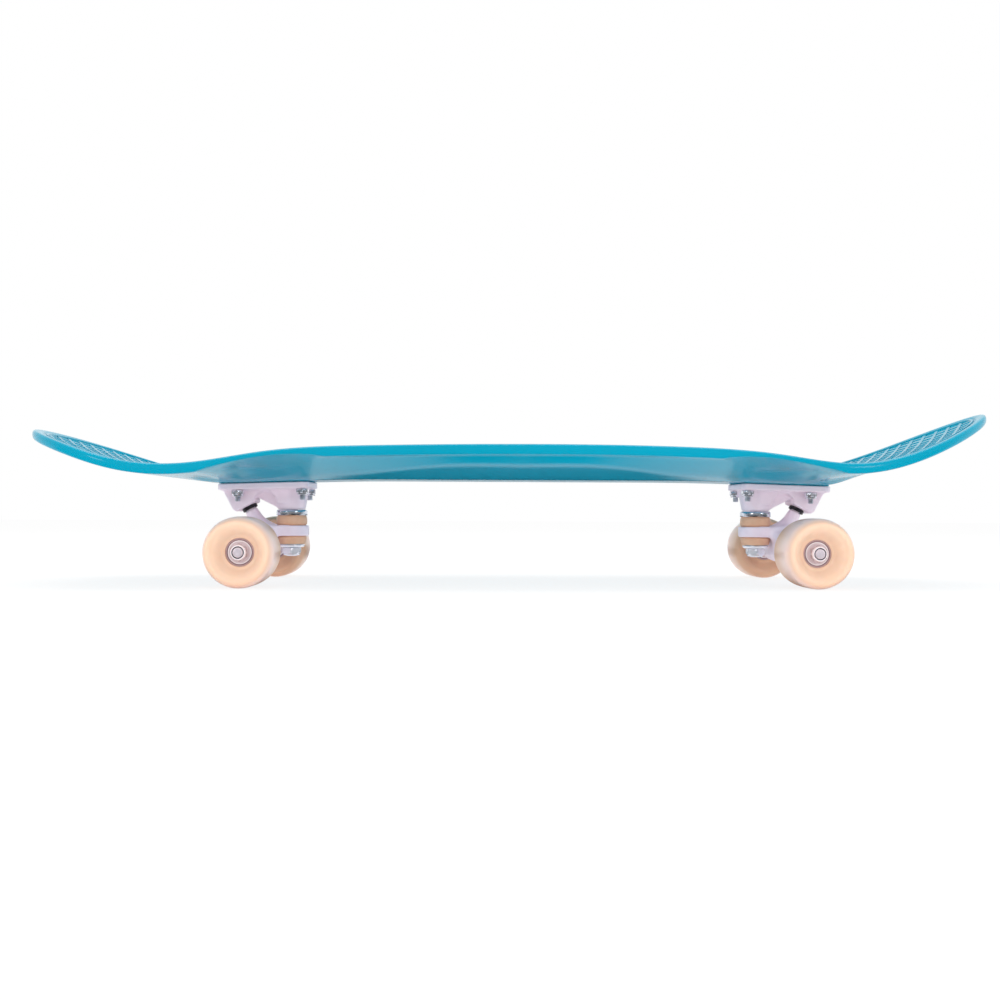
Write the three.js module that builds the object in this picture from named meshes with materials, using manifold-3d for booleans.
// Cruiser skateboard: a moulded plastic deck on two cast trucks with soft wheels.
// Millimetres, +Z up, +X towards the kicktail, origin on the ground under the deck's middle.
// Each truck is built around its own axle with +X pointing inboard, then turned into place.
import * as THREE from "three";
import { mergeVertices } from "three/addons/utils/BufferGeometryUtils.js";
import Module from "manifold-3d";

const wasm = await Module();
wasm.setup();

// Driving dimensions of the whole board
const deckLength = 813;
const deckWidth = 208.6;
const deckRise = 28.3;          // truck pads up to the rim's top at the middle
const axleSpacing = 453.4;
const axleShift = 6.2;          // middle of the axles, towards the kicktail
const truckHeight = 56.2;       // axle up to the baseplate's top
const wheelDiameter = 56.4;
const seatGap = 0.3;            // clearance between pieces that seat on each other
const overrun = 2;              // how far a cutter runs past what it cuts

// Deck rim and skin
const rimHeight = 8.4;
const lipHeight = 4.4;          // rim height left over a wheel well
const rimWidth = 8.6;
const fieldDrop = 1.6;          // recess of the standing field inside the rim
const dishDepth = 11.5;         // concave of the field at the middle
const bowlPower = 2.2;          // how the field's concave bends from the spine to its edge
const noseCurve = 93.6;         // length of the rounded nose in plan
const tailCurve = 157.9;
const nosePower = 2.06;
const tailPower = 1.77;
const endSpineShare = 0.55;     // reach of the spine into the rounded nose and tail
const keelHalfWidth = 31;
const wellCentre = 206;         // wheel wells, from the deck's middle
const wellHalfLength = 53;
const wellWallY = 64;
const padMargin = 0.8;
const padDepth = 6;             // height of the pad block, most of it inside the hull

// Truck baseplate and kingpin
const plateLength = 76.4;
const plateWidth = 55;
const plateThickness = 5.2;
const plateCorner = 6;
const plateCentre = 5.8;        // from the axle, inboard
const plateTilt = THREE.MathUtils.degToRad(1.8);
const boltSpacing = 54;
const boltGauge = 41.3;
const boltCentre = 10.9;
const kingpinOffset = 25.8;     // kingpin from the axle, inboard
const kingpinDiameter = 9.5;
const kingpinBossDepth = 22.1;  // baseplate's top down to the boss's face
const kingpinBossRadius = 11.4;
const kingpinBossLength = 25.2; // along the board where the boss meets the plate
const kingpinBossPower = 4;     // how square the boss is there
const kingpinHeadFlats = 14.3;
const kingpinHeadHeight = 5.6;
const kingpinHeadSink = 0.8;
const bodyHalfWidth = 13;
const webHalfWidth = 7;
const castingRound = 1.6;

// Pivot: a ball on the hanger's stem inside a cup of the baseplate
const pivotAngle = THREE.MathUtils.degToRad(62);
const pivotX = -10.8;           // housing face from the axle
const pivotDrop = 19.7;         // housing face below the baseplate's top
const pivotCupRadius = 6.6;
const pivotCupStem = 5.6;
const pivotFlange = 2.9;
const pivotCupDepth = 10.4;
const pivotBallRadius = 4.2;
const pivotBallDepth = 4.6;     // ball centre behind the housing's face
const pivotNeckRadius = 3.7;
const pivotMouthRadius = 5.4;
const pivotWall = 4.1;

// Kingpin stack, from the boss's face down
const cupWasherRadius = 13.2;
const cupWasherHeight = 4.9;
const cupWasherWall = 1.2;
const cupWasherPlate = 1.8;
const topBushingRadius = 12.8;
const topBushingHeight = 8.6;
const bushingSeatDepth = 1.2;
const bushingWaist = 1.1;
const ringHeight = 8.9;
const ringRadius = 14.6;
const ringBore = 8.4;
const bottomBushingHeight = 7.3;
const bottomBushingFoot = 11.6;
const bottomWasherRadius = 11;
const bottomWasherHeight = 2.6;
const kingpinNutFlats = 14.6;
const kingpinNutHeight = 6.6;
const kingpinEnd = 0.6;

// Hanger, axle and wheels
const hangerHalf = 61.4;
const hangerEndRadius = 8.2;
const hangerMidRadius = 11.5;
const hangerShoulderX = 4;
const hangerShoulderRise = 11;
const hangerShoulderRadius = 10;
const hangerScallop = 14.4;     // room round the kingpin's lower stack
const armHalfWidth = 14;
const axleDiameter = 8;
const axleWasherRadius = 5.8;
const axleWasherThickness = 1;
const axleNutFlats = 12.7;
const axleNutHeight = 6;
const axleEnd = 0.6;
const axleChamfer = 0.8;
const bearingDiameter = 22;
const bearingWidth = 7;
const bearingSpacing = 10;
const coreOffset = 3.1;         // wheel's middle from the middle of its two bearings, outboard
const bearingRace = 2.2;
const bearingOuterRace = 1.6;
const shieldDepth = 0.45;
const wheelWidth = 43;
const treadWidth = 26;
const wheelLipRadius = 22.3;
const wheelShoulder = 8.4;      // bore between the two bearing seats

// Deck hardware
const screwDiameter = 4.8;
const screwHeadDiameter = 9.4;
const screwHeadHeight = 2.9;
const screwHeadRim = 0.5;
const screwSink = 0.8;
const screwEnd = 4;
const lockNutFlats = 9.5;
const lockNutHeight = 5.6;
const nutCollarShare = 0.3;

const wheelSides = 24;
const roundSides = 12;
const smallSides = 8;

// Derived heights and places
const axleHeight = wheelDiameter / 2 * Math.cos(Math.PI / wheelSides);
const seatHeight = axleHeight + truckHeight + seatGap;
const halfLength = deckLength / 2;
const halfWidth = deckWidth / 2;
const plateSlope = Math.tan(plateTilt);
const kingpinRadius = kingpinDiameter / 2;
const axleRadius = axleDiameter / 2;
const pivotRise = truckHeight - pivotDrop;
const bossFace = truckHeight - kingpinBossDepth;
const cupWasherTop = bossFace - seatGap;
const topBushingTop = cupWasherTop - cupWasherPlate - seatGap;
const ringTop = cupWasherTop - cupWasherHeight - topBushingHeight;
const ringBottom = ringTop - ringHeight;
const bottomWasherTop = ringBottom - bottomBushingHeight;
const kingpinNutTop = bottomWasherTop - bottomWasherHeight - seatGap;
const bearingPair = bearingSpacing + 2 * bearingWidth;
const bearingCentre = hangerHalf + axleWasherThickness + 2 * seatGap + bearingPair / 2;
const outerWasher = bearingCentre + bearingPair / 2 + seatGap;
const axleNutFace = outerWasher + axleWasherThickness + seatGap;
const axleHalf = axleNutFace + axleNutHeight + axleEnd;

// The deck's lines along its length: [place, value] as shares of half the length and of a size
const rimLineShares = [
  [-1, 1.591], [-0.88, 1.003], [-0.76, 0.514], [-0.64, 0.451], [-0.5, 0.759], [-0.3, 0.944], [0, 1],
  [0.3, 0.952], [0.5, 0.745], [0.64, 0.524], [0.76, 0.829], [0.88, 1.483], [1, 2.266],
];
const keelLineShares = [
  [-1, 1.619], [-0.72, 0.309], [-0.66, 0.042], [-0.61, -0.02], [-0.53, 0.01], [-0.434, 0.054],
  [-0.36, 0.082], [-0.2, 0.094], [0, 0.094], [0.2, 0.094], [0.39, 0.082], [0.465, 0.056], [0.56, 0.012],
  [0.61, -0.009], [0.645, -0.012], [0.68, 0.123], [0.74, 0.53], [1, 2.238],
];
const creaseLineShares = [
  [0, 0.433], [0.15, 0.427], [0.23, 0.329], [0.3, 0.226], [0.4, 0.185], [0.5, 0.123], [0.62, 0.092],
  [0.74, 0.587], [1, 2.238],
];
const creaseWidthShares = [
  [0, 0.805], [0.15, 0.8], [0.23, 0.68], [0.3, 0.56], [0.4, 0.48], [0.5, 0.43], [0.64, 0.42], [0.8, 0.6],
  [1, 0.7],
];
const dishShares = [
  [0, 1], [0.15, 0.97], [0.3, 0.87], [0.4, 0.74], [0.5, 0.45], [0.6, 0.14], [0.66, 0.11], [0.78, 0.19],
  [1, 0.26],
];
const wellWallShare = 0.355;

// Natural cubic through the table's points: second slopes come from a tridiagonal sweep
function smoothLine(table) {
  const count = table.length;
  const bend = new Array(count).fill(0);
  const carry = new Array(count).fill(0);
  for (let i = 1; i < count - 1; i += 1) {
    const before = table[i][0] - table[i - 1][0];
    const after = table[i + 1][0] - table[i][0];
    const turn = (table[i + 1][1] - table[i][1]) / after - (table[i][1] - table[i - 1][1]) / before;
    const pivot = 2 * (before + after) - before * carry[i - 1];
    carry[i] = after / pivot;
    bend[i] = (6 * turn - before * bend[i - 1]) / pivot;
  }
  for (let i = count - 2; i > 0; i -= 1) bend[i] -= carry[i] * bend[i + 1];
  return (place) => {
    let i = 0;
    while (i < count - 2 && place > table[i + 1][0]) i += 1;
    const step = table[i + 1][0] - table[i][0];
    const b = (place - table[i][0]) / step;
    const a = 1 - b;
    const pull = ((a ** 3 - a) * bend[i] + (b ** 3 - b) * bend[i + 1]) * step ** 2 / 6;
    return a * table[i][1] + b * table[i + 1][1] + pull;
  };
}

const rimCurve = smoothLine(rimLineShares);
const keelCurve = smoothLine(keelLineShares);
const creaseCurve = smoothLine(creaseLineShares);
const creaseWidthCurve = smoothLine(creaseWidthShares);
const dishCurve = smoothLine(dishShares);

const mix = (from, to, share) => from + (to - from) * share;

// Merges shared corners, drops triangles of no area and turns the faces outwards
function closed(geometry) {
  const bare = geometry.clone();
  bare.deleteAttribute("normal");
  bare.deleteAttribute("uv");
  const merged = mergeVertices(bare);
  const place = merged.getAttribute("position");
  const index = [];
  let volume = 0;
  const corner = [new THREE.Vector3(), new THREE.Vector3(), new THREE.Vector3()];
  for (let i = 0; i < merged.index.count; i += 3) {
    const [a, b, c] = [0, 1, 2].map((k) => merged.index.getX(i + k));
    if (a === b || b === c || c === a) continue;
    [a, b, c].forEach((vertex, k) => corner[k].fromBufferAttribute(place, vertex));
    volume += corner[0].dot(corner[1].cross(corner[2]));
    index.push([a, b, c]);
  }
  merged.setIndex(index.flatMap(([a, b, c]) => (volume < 0 ? [a, c, b] : [a, b, c])));
  return merged;
}

function solid(geometry) {
  const body = closed(geometry);
  const vertProperties = new Float32Array(body.getAttribute("position").array);
  const triVerts = new Uint32Array(body.index.array);
  return new wasm.Manifold(new wasm.Mesh({ numProp: 3, vertProperties, triVerts }));
}

function geometryOf(body) {
  const { vertProperties, triVerts } = body.getMesh();
  const geometry = new THREE.BufferGeometry();
  geometry.setAttribute("position", new THREE.BufferAttribute(vertProperties, 3));
  geometry.setIndex(new THREE.BufferAttribute(triVerts, 1));
  return geometry;
}

const join = (...parts) => parts.map(solid).reduce((whole, part) => whole.add(part));
const cut = (body, ...cutters) => cutters.map(solid).reduce((whole, cutter) => whole.subtract(cutter), body);

// A profile of [radius, height] points turned about Z
function turned(profile, sides, phase = 0) {
  const points = profile.map(([radius, height]) => new THREE.Vector2(radius, height));
  return new THREE.LatheGeometry(points, sides, phase).rotateX(Math.PI / 2);
}

// A ring profile closes on itself, so its last point repeats the first
const turnedRing = (profile, sides, phase) => turned([...profile, profile[0]], sides, phase);

const rod = (radius, bottom, top, sides = roundSides) => turned(
  [[0, bottom], [radius, bottom], [radius, top], [0, top]], sides);

function prism(shape, bottom, top) {
  const depth = top - bottom;
  return new THREE.ExtrudeGeometry(shape, { depth, bevelEnabled: false }).translate(0, 0, bottom);
}

// A side outline of [x, z] points, extruded evenly to both sides of the middle plane
function sideProfile(outline, halfThickness) {
  const shape = new THREE.Shape(outline.map(([x, z]) => new THREE.Vector2(x, z)));
  const flat = halfThickness - castingRound;
  const geometry = new THREE.ExtrudeGeometry(shape, {
    depth: 2 * flat, bevelEnabled: true, bevelThickness: castingRound, bevelSize: castingRound,
    bevelOffset: -castingRound, bevelSegments: 1,
  });
  return geometry.translate(0, 0, -flat).rotateX(Math.PI / 2);
}

function roundedRectangle(length, width, corner) {
  const x = length / 2 - corner;
  const y = width / 2 - corner;
  const shape = new THREE.Shape();
  shape.absarc(x, y, corner, 0, Math.PI / 2);
  shape.absarc(-x, y, corner, Math.PI / 2, Math.PI);
  shape.absarc(-x, -y, corner, Math.PI, 1.5 * Math.PI);
  shape.absarc(x, -y, corner, 1.5 * Math.PI, 2 * Math.PI);
  return new THREE.Shape(shape.getPoints(3));
}

function hexagon(flats) {
  const radius = flats / Math.sqrt(3);
  const corners = Array.from({ length: 6 }, (_, i) => new THREE.Vector2(
    radius * Math.cos(i * Math.PI / 3), radius * Math.sin(i * Math.PI / 3)));
  return new THREE.Shape(corners);
}

// Joins rings of points, each ring closed on itself, into a skin, with flat ends if asked
function skin(rings, capped = false) {
  const count = rings[0].length;
  const vertices = rings.flat().flatMap((point) => point);
  const index = [];
  for (let r = 0; r < rings.length - 1; r += 1) {
    for (let i = 0; i < count; i += 1) {
      const a = r * count + i;
      const b = r * count + (i + 1) % count;
      index.push(a, b, b + count, a, b + count, a + count);
    }
  }
  if (capped) {
    const last = (rings.length - 1) * count;
    for (let i = 1; i < count - 1; i += 1) index.push(0, i + 1, i, last, last + i, last + i + 1);
  }
  const geometry = new THREE.BufferGeometry();
  geometry.setAttribute("position", new THREE.Float32BufferAttribute(vertices, 3));
  geometry.setIndex(index);
  return geometry;
}

// Deck
const rimTop = (x) => seatHeight + deckRise * rimCurve(x / halfLength);
const wellDepth = (x) => Math.max(0, 1 - ((Math.abs(x) - wellCentre) / wellHalfLength) ** 2);
const wellHollow = (x) => wellDepth(x) ** 1.5;
const lipAt = (x) => mix(rimHeight, lipHeight, wellDepth(x) ** 0.7);
const dishAt = (x) => dishDepth * dishCurve(Math.abs(x) / halfLength);

// Stations round one side of the plan: outline point, outward normal and its point on the spine
function deckStations() {
  const noseSteps = 7;
  const tailSteps = 9;
  const straightSteps = 28;
  const stations = [];
  const arc = (end, side, length, power, angle) => {
    const along = Math.cos(angle) ** (2 / power);
    const across = Math.sin(angle) ** (2 / power);
    const slope = new THREE.Vector2(side * along ** (power - 1) / length, across ** (power - 1) / halfWidth);
    slope.normalize();
    return {
      x: end + side * length * along, y: halfWidth * across, nx: slope.x, ny: slope.y,
      spine: end + side * length * endSpineShare * along,
    };
  };
  const noseEnd = -halfLength + noseCurve;
  const tailEnd = halfLength - tailCurve;
  for (let i = 0; i < noseSteps; i += 1) {
    stations.push(arc(noseEnd, -1, noseCurve, nosePower, i / noseSteps * Math.PI / 2));
  }
  for (let i = 0; i <= straightSteps; i += 1) {
    const x = mix(noseEnd, tailEnd, i / straightSteps);
    stations.push({ x, y: halfWidth, nx: 0, ny: 1, spine: x });
  }
  for (let i = tailSteps - 1; i >= 0; i -= 1) {
    stations.push(arc(tailEnd, 1, tailCurve, tailPower, i / tailSteps * Math.PI / 2));
  }
  return stations;
}

// One station's cross-section, from the spine over the rim and back under to the spine
function deckSection({ x, y, nx, ny, spine }) {
  const edge = (inset, dropOf) => {
    const at = [x - nx * inset, y - ny * inset];
    return [...at, rimTop(at[0]) - dropOf(lipAt(at[0]))];
  };
  const fieldEdge = [x - nx * rimWidth, y - ny * rimWidth];
  const topPoint = (share) => {
    const at = [mix(fieldEdge[0], spine, share), fieldEdge[1] * (1 - share)];
    return [...at, rimTop(at[0]) - fieldDrop - dishAt(at[0]) * (1 - (1 - share) ** bowlPower)];
  };
  const foot = [x - nx * 0.3 * rimWidth, y - ny * 0.3 * rimWidth];
  const underPoint = (width, heightOf) => {
    const share = foot[1] > 0 ? 1 - Math.max(0, width) / foot[1] : 1;
    const px = mix(foot[0], spine, share);
    const flush = rimTop(px) - rimHeight;
    return [px, foot[1] * (1 - share), heightOf(px, flush)];
  };
  const well = wellHollow(x);
  const wallWidth = mix(0.94 * foot[1], Math.min(wellWallY, 0.9 * foot[1]), well);
  const creaseWidth = Math.min(halfWidth * creaseWidthCurve(Math.abs(x) / halfLength), 0.86 * foot[1]);
  const keelWidth = Math.min(keelHalfWidth, 0.32 * foot[1]);
  const keel = (px, flush) => Math.min(flush, seatHeight + deckRise * keelCurve(px / halfLength));
  const creaseLine = (px) => seatHeight + deckRise * creaseCurve(Math.abs(px) / halfLength);
  const crease = (px, flush) => Math.min(flush, creaseLine(px));
  const wall = (px, flush) => mix(flush, seatHeight + deckRise * wellWallShare, wellHollow(px));
  return [
    topPoint(1), topPoint(0.6), topPoint(0.25), topPoint(0),
    edge(0.84 * rimWidth, () => 0.6 * fieldDrop),
    edge(0.48 * rimWidth, () => 0),
    edge(0.14 * rimWidth, (lip) => 0.2 * Math.min(lip, lipHeight)),
    edge(0, (lip) => 0.45 * lip),
    edge(0.06 * rimWidth, (lip) => 0.86 * lip),
    edge(0.3 * rimWidth, (lip) => lip),
    underPoint(wallWidth, wall),
    underPoint(creaseWidth, crease),
    underPoint(keelWidth, keel),
    underPoint(0, keel),
  ];
}

function deckTopAt(x, y) {
  const across = Math.abs(y) / (halfWidth - rimWidth);
  return rimTop(x) - fieldDrop - dishAt(x) * (1 - across ** bowlPower);
}

// Both trucks: where each axle stands and which way is inboard
const trucks = [
  { name: "nose", x: axleShift - axleSpacing / 2, inboard: 1 },
  { name: "tail", x: axleShift + axleSpacing / 2, inboard: -1 },
];
const boltPlaces = [-1, 1].flatMap((end) => [-1, 1].map((side) => ({
  x: boltCentre + end * boltSpacing / 2, y: side * boltGauge / 2, end: end < 0 ? "outer" : "inner", side,
})));
// Sides are named as a rider who faces the nose has them: left is -Y and right is +Y
const sideName = (truck, side) => (side * truck.inboard < 0 ? "left" : "right");
const plateTop = (x) => truckHeight + plateSlope * (x - plateCentre);

// Lies along a truck's pad: turned by the plate's tilt about the plate's middle
const tilted = (geometry) => geometry.rotateY(-plateTilt).translate(plateCentre, 0, truckHeight);

function screwHeadTop(truck, bolt) {
  return deckTopAt(truck.x + truck.inboard * bolt.x, bolt.y) - screwSink;
}

function deckGeometry() {
  const half = deckStations();
  const around = [...half, ...half.slice(1, -1).reverse().map((s) => ({ ...s, y: -s.y, ny: -s.ny }))];
  const sections = around.map((station) => {
    const section = deckSection({ ...station, y: Math.abs(station.y), ny: Math.abs(station.ny) });
    return station.y < 0 ? section.map(([x, y, z]) => [x, -y, z]) : section;
  });
  const rings = sections[0].map((_, r) => sections.map((section) => section[r]));
  const pads = [];
  const holes = [];
  for (const truck of trucks) {
    const turn = truck.inboard > 0 ? 0 : Math.PI;
    const pad = prism(roundedRectangle(plateLength + 2 * padMargin, plateWidth + 2 * padMargin, plateCorner),
      seatGap, seatGap + padDepth);
    pads.push(tilted(pad).rotateZ(turn).translate(truck.x, 0, axleHeight));
    for (const bolt of boltPlaces) {
      const top = screwHeadTop(truck, bolt);
      const head = screwHeadDiameter / 2 + seatGap;
      const shank = screwDiameter / 2 + seatGap;
      const neck = top - screwHeadRim - seatGap;
      const drill = turned([
        [0, seatHeight - overrun], [shank, seatHeight - overrun], [shank, top - screwHeadHeight - seatGap],
        [head, neck], [head, top + screwSink + overrun], [0, top + screwSink + overrun],
      ], smallSides);
      holes.push(drill.translate(truck.x + truck.inboard * bolt.x, truck.inboard * bolt.y, 0));
    }
  }
  return geometryOf(cut(join(skin(rings), ...pads), ...holes));
}

// Pivot frame: Z runs out of the cup's mouth towards the hanger
const alongPivot = (geometry) => geometry
  .rotateY(Math.PI / 2 + pivotAngle)
  .translate(pivotX, 0, pivotRise);

// A closed level ring between a circle (power 2) and a rounded rectangle (higher powers)
function levelRing(height, centre, halfX, halfY, power) {
  const reach = (value) => Math.sign(value) * Math.abs(value) ** (2 / power);
  return Array.from({ length: 2 * roundSides }, (_, i) => {
    const angle = i / roundSides * Math.PI;
    return [centre + halfX * reach(Math.cos(angle)), halfY * reach(Math.sin(angle)), height];
  });
}

// Cast baseplate: a slab, a block that holds the pivot cup, a web with a recess on each side, and
// a boss that runs from a rounded rectangle under the slab to a circle at the kingpin's washer
function baseplateGeometry() {
  const slabUnder = truckHeight - plateThickness;
  const buried = truckHeight - plateThickness / 2;
  const face = (along) => [pivotX + along * Math.sin(pivotAngle), pivotRise + along * Math.cos(pivotAngle)];
  const tip = face(-(pivotCupRadius + pivotWall));
  const faceHigh = face(pivotCupRadius + 0.3 * pivotWall);
  const apex = [faceHigh[0] + 0.35 * pivotWall, faceHigh[1] + 0.95 * pivotWall];
  const plateOuter = plateCentre - plateLength / 2;
  const bossOuter = kingpinOffset - kingpinBossRadius;
  const pivotBlock = [
    [plateOuter + 0.3 * pivotWall, buried], [plateOuter + 0.3 * pivotWall, slabUnder],
    [tip[0] - 0.45 * pivotWall, tip[1] + 0.5 * pivotWall], face(-(pivotCupRadius + 0.8 * pivotWall)),
    faceHigh, apex, [apex[0] + 0.2 * pivotWall, slabUnder - 0.5 * plateThickness],
    [mix(apex[0], bossOuter, 0.5), slabUnder - 0.65 * plateThickness],
    [bossOuter + castingRound, mix(bossFace, slabUnder, 0.3)],
    [kingpinOffset, mix(bossFace, slabUnder, 0.3)], [kingpinOffset, buried],
  ];
  const web = [
    [apex[0] - pivotWall, buried], [apex[0] - pivotWall, apex[1]], apex,
    [bossOuter, bossFace + castingRound], [kingpinOffset, bossFace + castingRound], [kingpinOffset, buried],
  ];
  const slab = new THREE.ExtrudeGeometry(roundedRectangle(plateLength, plateWidth, plateCorner),
    { depth: plateThickness, bevelEnabled: false }).translate(0, 0, -plateThickness);
  const rootCentre = bossOuter + kingpinBossLength / 2;
  const bossEnd = kingpinBossRadius - castingRound;
  const boss = skin([
    levelRing(bossFace, kingpinOffset, bossEnd, bossEnd, 2),
    levelRing(bossFace + castingRound, kingpinOffset, kingpinBossRadius, kingpinBossRadius, 2),
    levelRing(slabUnder, rootCentre, kingpinBossLength / 2, bodyHalfWidth, kingpinBossPower),
    levelRing(buried, rootCentre, kingpinBossLength / 2, bodyHalfWidth, kingpinBossPower),
  ], true);
  const headPocket = kingpinHeadFlats / Math.sqrt(3) + seatGap;
  const pocketFloor = truckHeight - kingpinHeadSink - kingpinHeadHeight - seatGap;
  const cutters = boltPlaces.map(({ x, y }) => rod(screwDiameter / 2 + seatGap, slabUnder - overrun,
    truckHeight + overrun, smallSides).translate(x, y, 0));
  cutters.push(turned([
    [0, bossFace - overrun], [kingpinRadius + seatGap, bossFace - overrun],
    [kingpinRadius + seatGap, pocketFloor], [headPocket, pocketFloor],
    [headPocket, truckHeight + overrun], [0, truckHeight + overrun],
  ], roundSides).translate(kingpinOffset, 0, 0));
  cutters.push(alongPivot(rod(pivotCupStem + seatGap, -(pivotCupDepth + seatGap), overrun)));
  return geometryOf(cut(join(tilted(slab), sideProfile(pivotBlock, bodyHalfWidth),
    sideProfile(web, webHalfWidth), boss), ...cutters));
}

function pivotCupGeometry() {
  const inside = pivotBallRadius + seatGap;
  const floor = -(pivotBallDepth + inside);
  const flangeRound = 0.3 * pivotFlange;
  return closed(alongPivot(turned([
    [0, -pivotCupDepth], [pivotCupStem, -pivotCupDepth], [pivotCupStem, seatGap], [pivotCupRadius, seatGap],
    [pivotCupRadius, pivotFlange - flangeRound], [pivotCupRadius - flangeRound, pivotFlange],
    [pivotMouthRadius, pivotFlange], [inside, -pivotBallDepth], [inside, -pivotBallDepth - 0.4 * inside],
    [0.6 * inside, floor], [0, floor],
  ], roundSides)));
}

function kingpinGeometry() {
  const headTop = truckHeight - kingpinHeadSink;
  const headUnder = headTop - kingpinHeadHeight;
  const end = kingpinNutTop - kingpinNutHeight - kingpinEnd;
  const shank = turned([
    [0, end], [kingpinRadius - kingpinEnd, end], [kingpinRadius, end + kingpinEnd],
    [kingpinRadius, headUnder + overrun], [0, headUnder + overrun],
  ], roundSides);
  return geometryOf(join(shank, prism(hexagon(kingpinHeadFlats), headUnder, headTop)));
}

function cupWasherGeometry() {
  const rimFoot = cupWasherTop - cupWasherHeight;
  return closed(turnedRing([
    [kingpinRadius + seatGap, cupWasherTop - cupWasherPlate], [kingpinRadius + seatGap, cupWasherTop],
    [cupWasherRadius - cupWasherWall, cupWasherTop], [cupWasherRadius, cupWasherTop - cupWasherWall],
    [cupWasherRadius, rimFoot], [cupWasherRadius - cupWasherWall, rimFoot],
    [cupWasherRadius - cupWasherWall, cupWasherTop - cupWasherPlate],
  ], roundSides));
}

// Barrel shape: its neck fits inside the cup washer and its foot inside the hanger's seat
function topBushingGeometry() {
  const neck = cupWasherRadius - cupWasherWall - seatGap;
  const belly = ringTop + topBushingHeight - seatGap;
  return closed(turnedRing([
    [kingpinRadius + seatGap, ringTop - bushingSeatDepth + seatGap],
    [topBushingRadius - bushingWaist, ringTop - bushingSeatDepth + seatGap],
    [topBushingRadius - bushingWaist, ringTop], [topBushingRadius, ringTop + 0.25 * topBushingHeight],
    [topBushingRadius, ringTop + 0.75 * topBushingHeight], [neck, belly], [neck, topBushingTop],
    [kingpinRadius + seatGap, topBushingTop],
  ], roundSides));
}

function bottomBushingGeometry() {
  const seat = topBushingRadius - bushingWaist;
  return closed(turnedRing([
    [kingpinRadius + seatGap, bottomWasherTop + seatGap], [bottomBushingFoot, bottomWasherTop + seatGap],
    [topBushingRadius, ringBottom - 0.2 * bottomBushingHeight], [seat, ringBottom - seatGap],
    [seat, ringBottom + bushingSeatDepth - seatGap],
    [kingpinRadius + seatGap, ringBottom + bushingSeatDepth - seatGap],
  ], roundSides));
}

function bottomWasherGeometry() {
  const under = bottomWasherTop - bottomWasherHeight;
  return closed(turnedRing([
    [kingpinRadius + seatGap, under], [0.86 * bottomWasherRadius, under],
    [bottomWasherRadius, under + 0.5 * bottomWasherHeight], [bottomWasherRadius, bottomWasherTop],
    [kingpinRadius + seatGap, bottomWasherTop],
  ], roundSides));
}

// Hex nut with a round locking collar on its far face, bored to clear the thread
function lockNut(flats, height, bore, sides = smallSides) {
  const collar = nutCollarShare * height;
  const hex = prism(hexagon(flats), collar, height);
  const crown = turned([[0, 0], [0.42 * flats, 0], [0.46 * flats, height / 2], [0, height / 2]], sides);
  return geometryOf(cut(join(hex, crown), rod(bore + seatGap, -overrun, height + overrun, sides)));
}

// Outline round two circles in the XZ plane: each direction takes the circle that reaches further
function hangerSection(y, first, second, sides) {
  return Array.from({ length: sides }, (_, i) => {
    const angle = i / sides * 2 * Math.PI;
    const out = [Math.cos(angle), Math.sin(angle)];
    const reach = ({ x, z, radius }) => x * out[0] + z * out[1] + radius;
    const circle = reach(first) >= reach(second) ? first : second;
    return [circle.x + circle.radius * out[0], y, circle.z + circle.radius * out[1]];
  });
}

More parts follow.
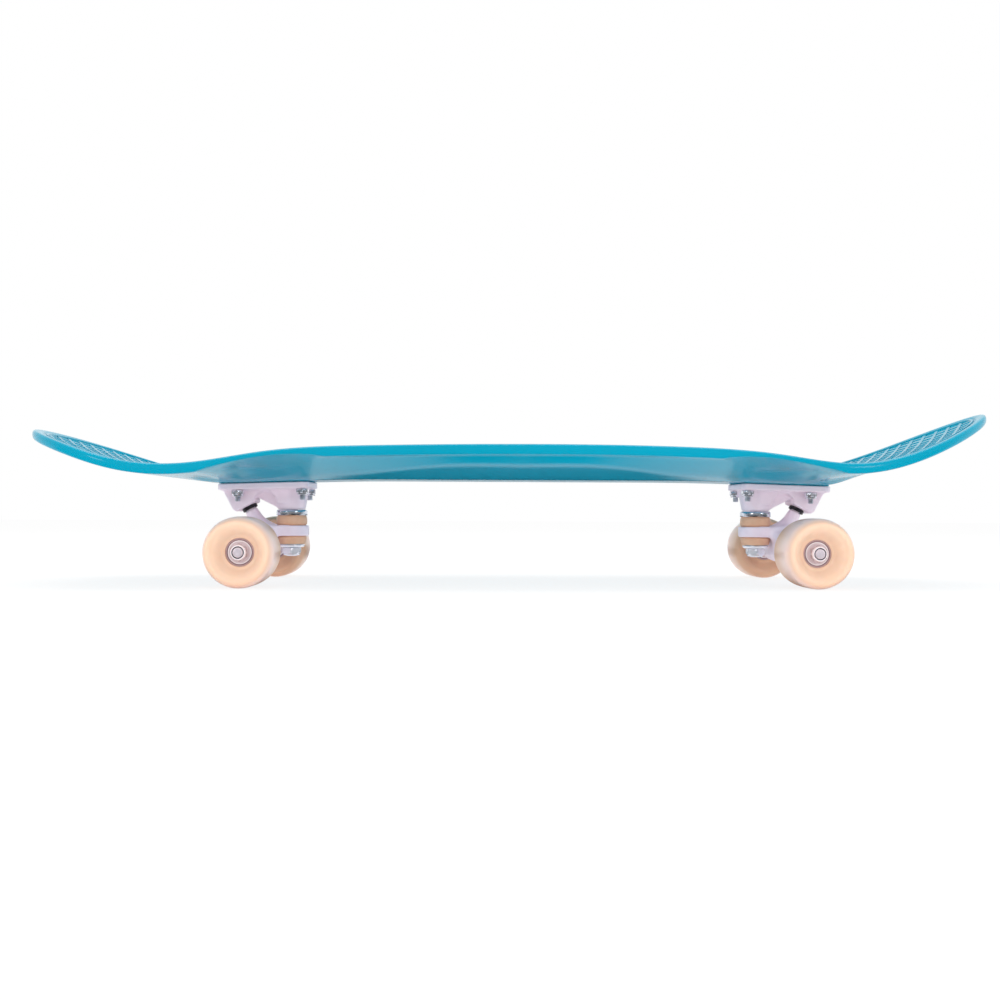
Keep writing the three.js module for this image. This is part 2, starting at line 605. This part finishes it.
function hangerGeometry() {
  const spanShares = [-1, -0.96, -0.7, -0.42, -0.2, 0.2, 0.42, 0.7, 0.96, 1];
  const wings = skin(spanShares.map((span) => {
    const rise = Math.max(0, Math.cos(Math.min(1, Math.abs(span) / 0.8) * Math.PI / 2)) ** 0.8;
    const tip = Math.abs(span) === 1 ? 0.88 : 1;
    const axle = { x: 0, z: 0, radius: mix(hangerEndRadius, hangerMidRadius, rise) * tip };
    const shoulder = {
      x: hangerShoulderX * rise, z: hangerShoulderRise * rise,
      radius: mix(hangerEndRadius * 0.9, hangerShoulderRadius, rise) * tip,
    };
    return hangerSection(span * hangerHalf, axle, shoulder, roundSides);
  }), true);
  const ring = rod(ringRadius, ringBottom, ringTop, wheelSides).translate(kingpinOffset, 0, 0);
  const armShape = new THREE.Shape();
  armShape.moveTo(0, -1.5 * armHalfWidth);
  armShape.quadraticCurveTo(0.35 * kingpinOffset, -armHalfWidth, kingpinOffset, -0.96 * ringRadius);
  armShape.lineTo(kingpinOffset, 0.96 * ringRadius);
  armShape.quadraticCurveTo(0.35 * kingpinOffset, armHalfWidth, 0, 1.5 * armHalfWidth);
  const arm = prism(new THREE.Shape(armShape.getPoints(3)), ringBottom + castingRound, ringTop);
  const stemLength = (pivotRise - hangerShoulderRise) / Math.sin(pivotAngle);
  const ballRound = [-0.5, -0.17, 0.17].map((turn) => [
    pivotBallRadius * Math.cos(turn * Math.PI), pivotBallRadius * Math.sin(turn * Math.PI) - pivotBallDepth]);
  const stem = alongPivot(turned([
    [0, -pivotBallDepth - pivotBallRadius], ...ballRound.slice(1),
    [pivotNeckRadius, 0], [1.13 * pivotNeckRadius, pivotFlange],
    [1.45 * pivotNeckRadius, pivotFlange + 0.05 * stemLength],
    [1.65 * pivotNeckRadius, pivotFlange + 0.25 * stemLength],
    [1.85 * pivotNeckRadius, pivotFlange + 0.55 * stemLength],
    [2.2 * pivotNeckRadius, stemLength], [0, stemLength],
  ], roundSides));
  const lowest = kingpinNutTop - kingpinNutHeight - 2 * overrun;
  const bore = axleRadius + seatGap;
  const cutters = [
    rod(hangerScallop, lowest, ringBottom).translate(kingpinOffset, 0, 0),
    rod(ringBore, ringBottom - overrun, ringTop + overrun).translate(kingpinOffset, 0, 0),
    rod(topBushingRadius - bushingWaist + seatGap, ringTop - bushingSeatDepth, ringTop + overrun)
      .translate(kingpinOffset, 0, 0),
    rod(topBushingRadius - bushingWaist + seatGap, ringBottom - overrun, ringBottom + bushingSeatDepth)
      .translate(kingpinOffset, 0, 0),
    rod(bore, -hangerHalf - overrun, hangerHalf + overrun, smallSides).rotateX(Math.PI / 2),
  ];
  return geometryOf(cut(join(wings, ring, arm, stem), ...cutters));
}

// Axle with the inner speed washer of each wheel, which is clamped against the hanger's end
function axleGeometry() {
  const washerIn = hangerHalf + seatGap;
  const washerOut = washerIn + axleWasherThickness;
  const half = [
    [axleRadius, washerIn], [axleWasherRadius, washerIn],
    [axleWasherRadius, washerOut], [axleRadius, washerOut],
    [axleRadius, axleHalf - axleChamfer], [axleRadius - axleChamfer, axleHalf], [0, axleHalf],
  ];
  const other = half.map(([radius, y]) => [radius, -y]).reverse();
  return closed(turned([...other, ...half], smallSides).rotateX(Math.PI / 2));
}

// Soft wheel: flat tread, round lips, dished faces and a seat for a bearing on each side. Its
// bearings sit nearer the inner face, so the outer dish is the deeper one
function wheelGeometry(outward) {
  const radius = wheelDiameter / 2;
  const half = wheelWidth / 2;
  const tread = treadWidth / 2;
  const seat = bearingDiameter / 2 + seatGap;
  const seatFace = bearingPair / 2 + seatGap;
  const ledge = bearingSpacing / 2 - seatGap;
  const lip = half - tread;
  const side = (core) => [
    [radius, tread], [radius - 0.12 * (radius - wheelLipRadius), tread + 0.4 * lip],
    [mix(radius, wheelLipRadius, 0.5), tread + 0.84 * lip], [wheelLipRadius, half],
    [mix(wheelLipRadius, seat, 0.28), mix(half, seatFace + core, 0.16)],
    [mix(wheelLipRadius, seat, 0.68), mix(half, seatFace + core, 0.8)],
    [seat, seatFace + core], [seat, ledge + core], [wheelShoulder, ledge + core],
  ];
  const profile = [...side(-coreOffset), ...side(coreOffset).map(([r, y]) => [r, -y]).reverse()];
  return closed(turnedRing(profile, wheelSides, Math.PI / wheelSides).rotateX(-outward * Math.PI / 2));
}

// Bearing with its shield set back between the races, facing out of the wheel
function bearingGeometry(outward) {
  const inner = axleRadius + seatGap;
  const outer = bearingDiameter / 2;
  const half = bearingWidth / 2;
  const innerRace = inner + bearingRace;
  const outerRace = outer - bearingOuterRace;
  return closed(turnedRing([
    [inner, -half], [outer, -half], [outer, half], [outerRace, half], [outerRace, half - shieldDepth],
    [innerRace, half - shieldDepth], [innerRace, half], [inner, half],
  ], roundSides).rotateX(-outward * Math.PI / 2));
}

function speedWasherGeometry() {
  const inner = axleRadius + seatGap;
  return closed(turnedRing([
    [inner, 0], [axleWasherRadius, 0], [axleWasherRadius, axleWasherThickness], [inner, axleWasherThickness],
  ], smallSides));
}

function screwGeometry(length) {
  const head = screwHeadDiameter / 2;
  const shank = screwDiameter / 2;
  return closed(turned([
    [0, -length], [shank, -length], [shank, -screwHeadHeight],
    [head, -screwHeadRim], [head, 0], [0, 0],
  ], smallSides));
}

const finish = (color, roughness, metalness = 0) => new THREE.MeshStandardMaterial({
  color, roughness, metalness, flatShading: true });
const materials = {
  deck: finish(0x0aa3b5, 0.22),
  casting: finish(0xdcd3de, 0.38),
  zinc: finish(0xaeb6bd, 0.3, 1),
  steel: finish(0xc9cbce, 0.25, 1),
  bushing: finish(0xc98a52, 0.45),
  cup: finish(0x17171a, 0.6),
  wheel: finish(0xf6dcb4, 0.35),
};

function piece(name, geometry, material, x = 0, y = 0, z = 0) {
  const mesh = new THREE.Mesh(geometry, material);
  mesh.name = name;
  mesh.position.set(x, y, z);
  return mesh;
}

function truckGroup(truck) {
  const group = new THREE.Group();
  group.position.set(truck.x, 0, axleHeight);
  group.rotation.z = truck.inboard > 0 ? 0 : Math.PI;
  const call = (part) => `${truck.name}_${part}`;
  group.add(
    piece(call("baseplate"), baseplateGeometry(), materials.casting),
    piece(call("pivot_cup"), pivotCupGeometry(), materials.cup),
    piece(call("kingpin"), kingpinGeometry(), materials.zinc, kingpinOffset),
    piece(call("cup_washer"), cupWasherGeometry(), materials.zinc, kingpinOffset),
    piece(call("top_bushing"), topBushingGeometry(), materials.bushing, kingpinOffset),
    piece(call("hanger"), hangerGeometry(), materials.casting),
    piece(call("bottom_bushing"), bottomBushingGeometry(), materials.bushing, kingpinOffset),
    piece(call("bottom_washer"), bottomWasherGeometry(), materials.zinc, kingpinOffset),
    piece(call("kingpin_nut"), lockNut(kingpinNutFlats, kingpinNutHeight, kingpinRadius, roundSides),
      materials.zinc, kingpinOffset, 0, kingpinNutTop - kingpinNutHeight),
    piece(call("axle"), axleGeometry(), materials.steel),
  );
  for (const bolt of boltPlaces) {
    const headTop = screwHeadTop(truck, bolt) - axleHeight;
    const nutTop = plateTop(bolt.x) - plateThickness - seatGap;
    const nutFoot = nutTop - lockNutHeight;
    const place = `${bolt.end}_${sideName(truck, bolt.side)}`;
    const screw = screwGeometry(headTop - nutFoot + screwEnd);
    const nut = lockNut(lockNutFlats, lockNutHeight, screwDiameter / 2);
    group.add(
      piece(call(`screw_${place}`), screw, materials.zinc, bolt.x, bolt.y, headTop),
      piece(call(`lock_nut_${place}`), nut, materials.zinc, bolt.x, bolt.y, nutFoot),
    );
  }
  for (const side of [-1, 1]) {
    const label = sideName(truck, side);
    const nut = lockNut(axleNutFlats, axleNutHeight, axleRadius).rotateX(side * Math.PI / 2);
    const washer = speedWasherGeometry().rotateX(-side * Math.PI / 2);
    group.add(
      piece(call(`${label}_wheel`), wheelGeometry(side), materials.wheel,
        0, side * (bearingCentre + coreOffset)),
      piece(call(`${label}_inner_bearing`), bearingGeometry(-side), materials.steel,
        0, side * (bearingCentre - (bearingSpacing + bearingWidth) / 2)),
      piece(call(`${label}_outer_bearing`), bearingGeometry(side), materials.steel,
        0, side * (bearingCentre + (bearingSpacing + bearingWidth) / 2)),
      piece(call(`${label}_speed_washer`), washer, materials.zinc, 0, side * outerWasher),
      piece(call(`${label}_axle_nut`), nut, materials.zinc, 0, side * (axleNutFace + axleNutHeight)),
    );
  }
  return group;
}

const skateboard = new THREE.Group();
skateboard.name = "cruiser_skateboard";
skateboard.add(piece("deck", deckGeometry(), materials.deck), ...trucks.map(truckGroup));

export default skateboard;
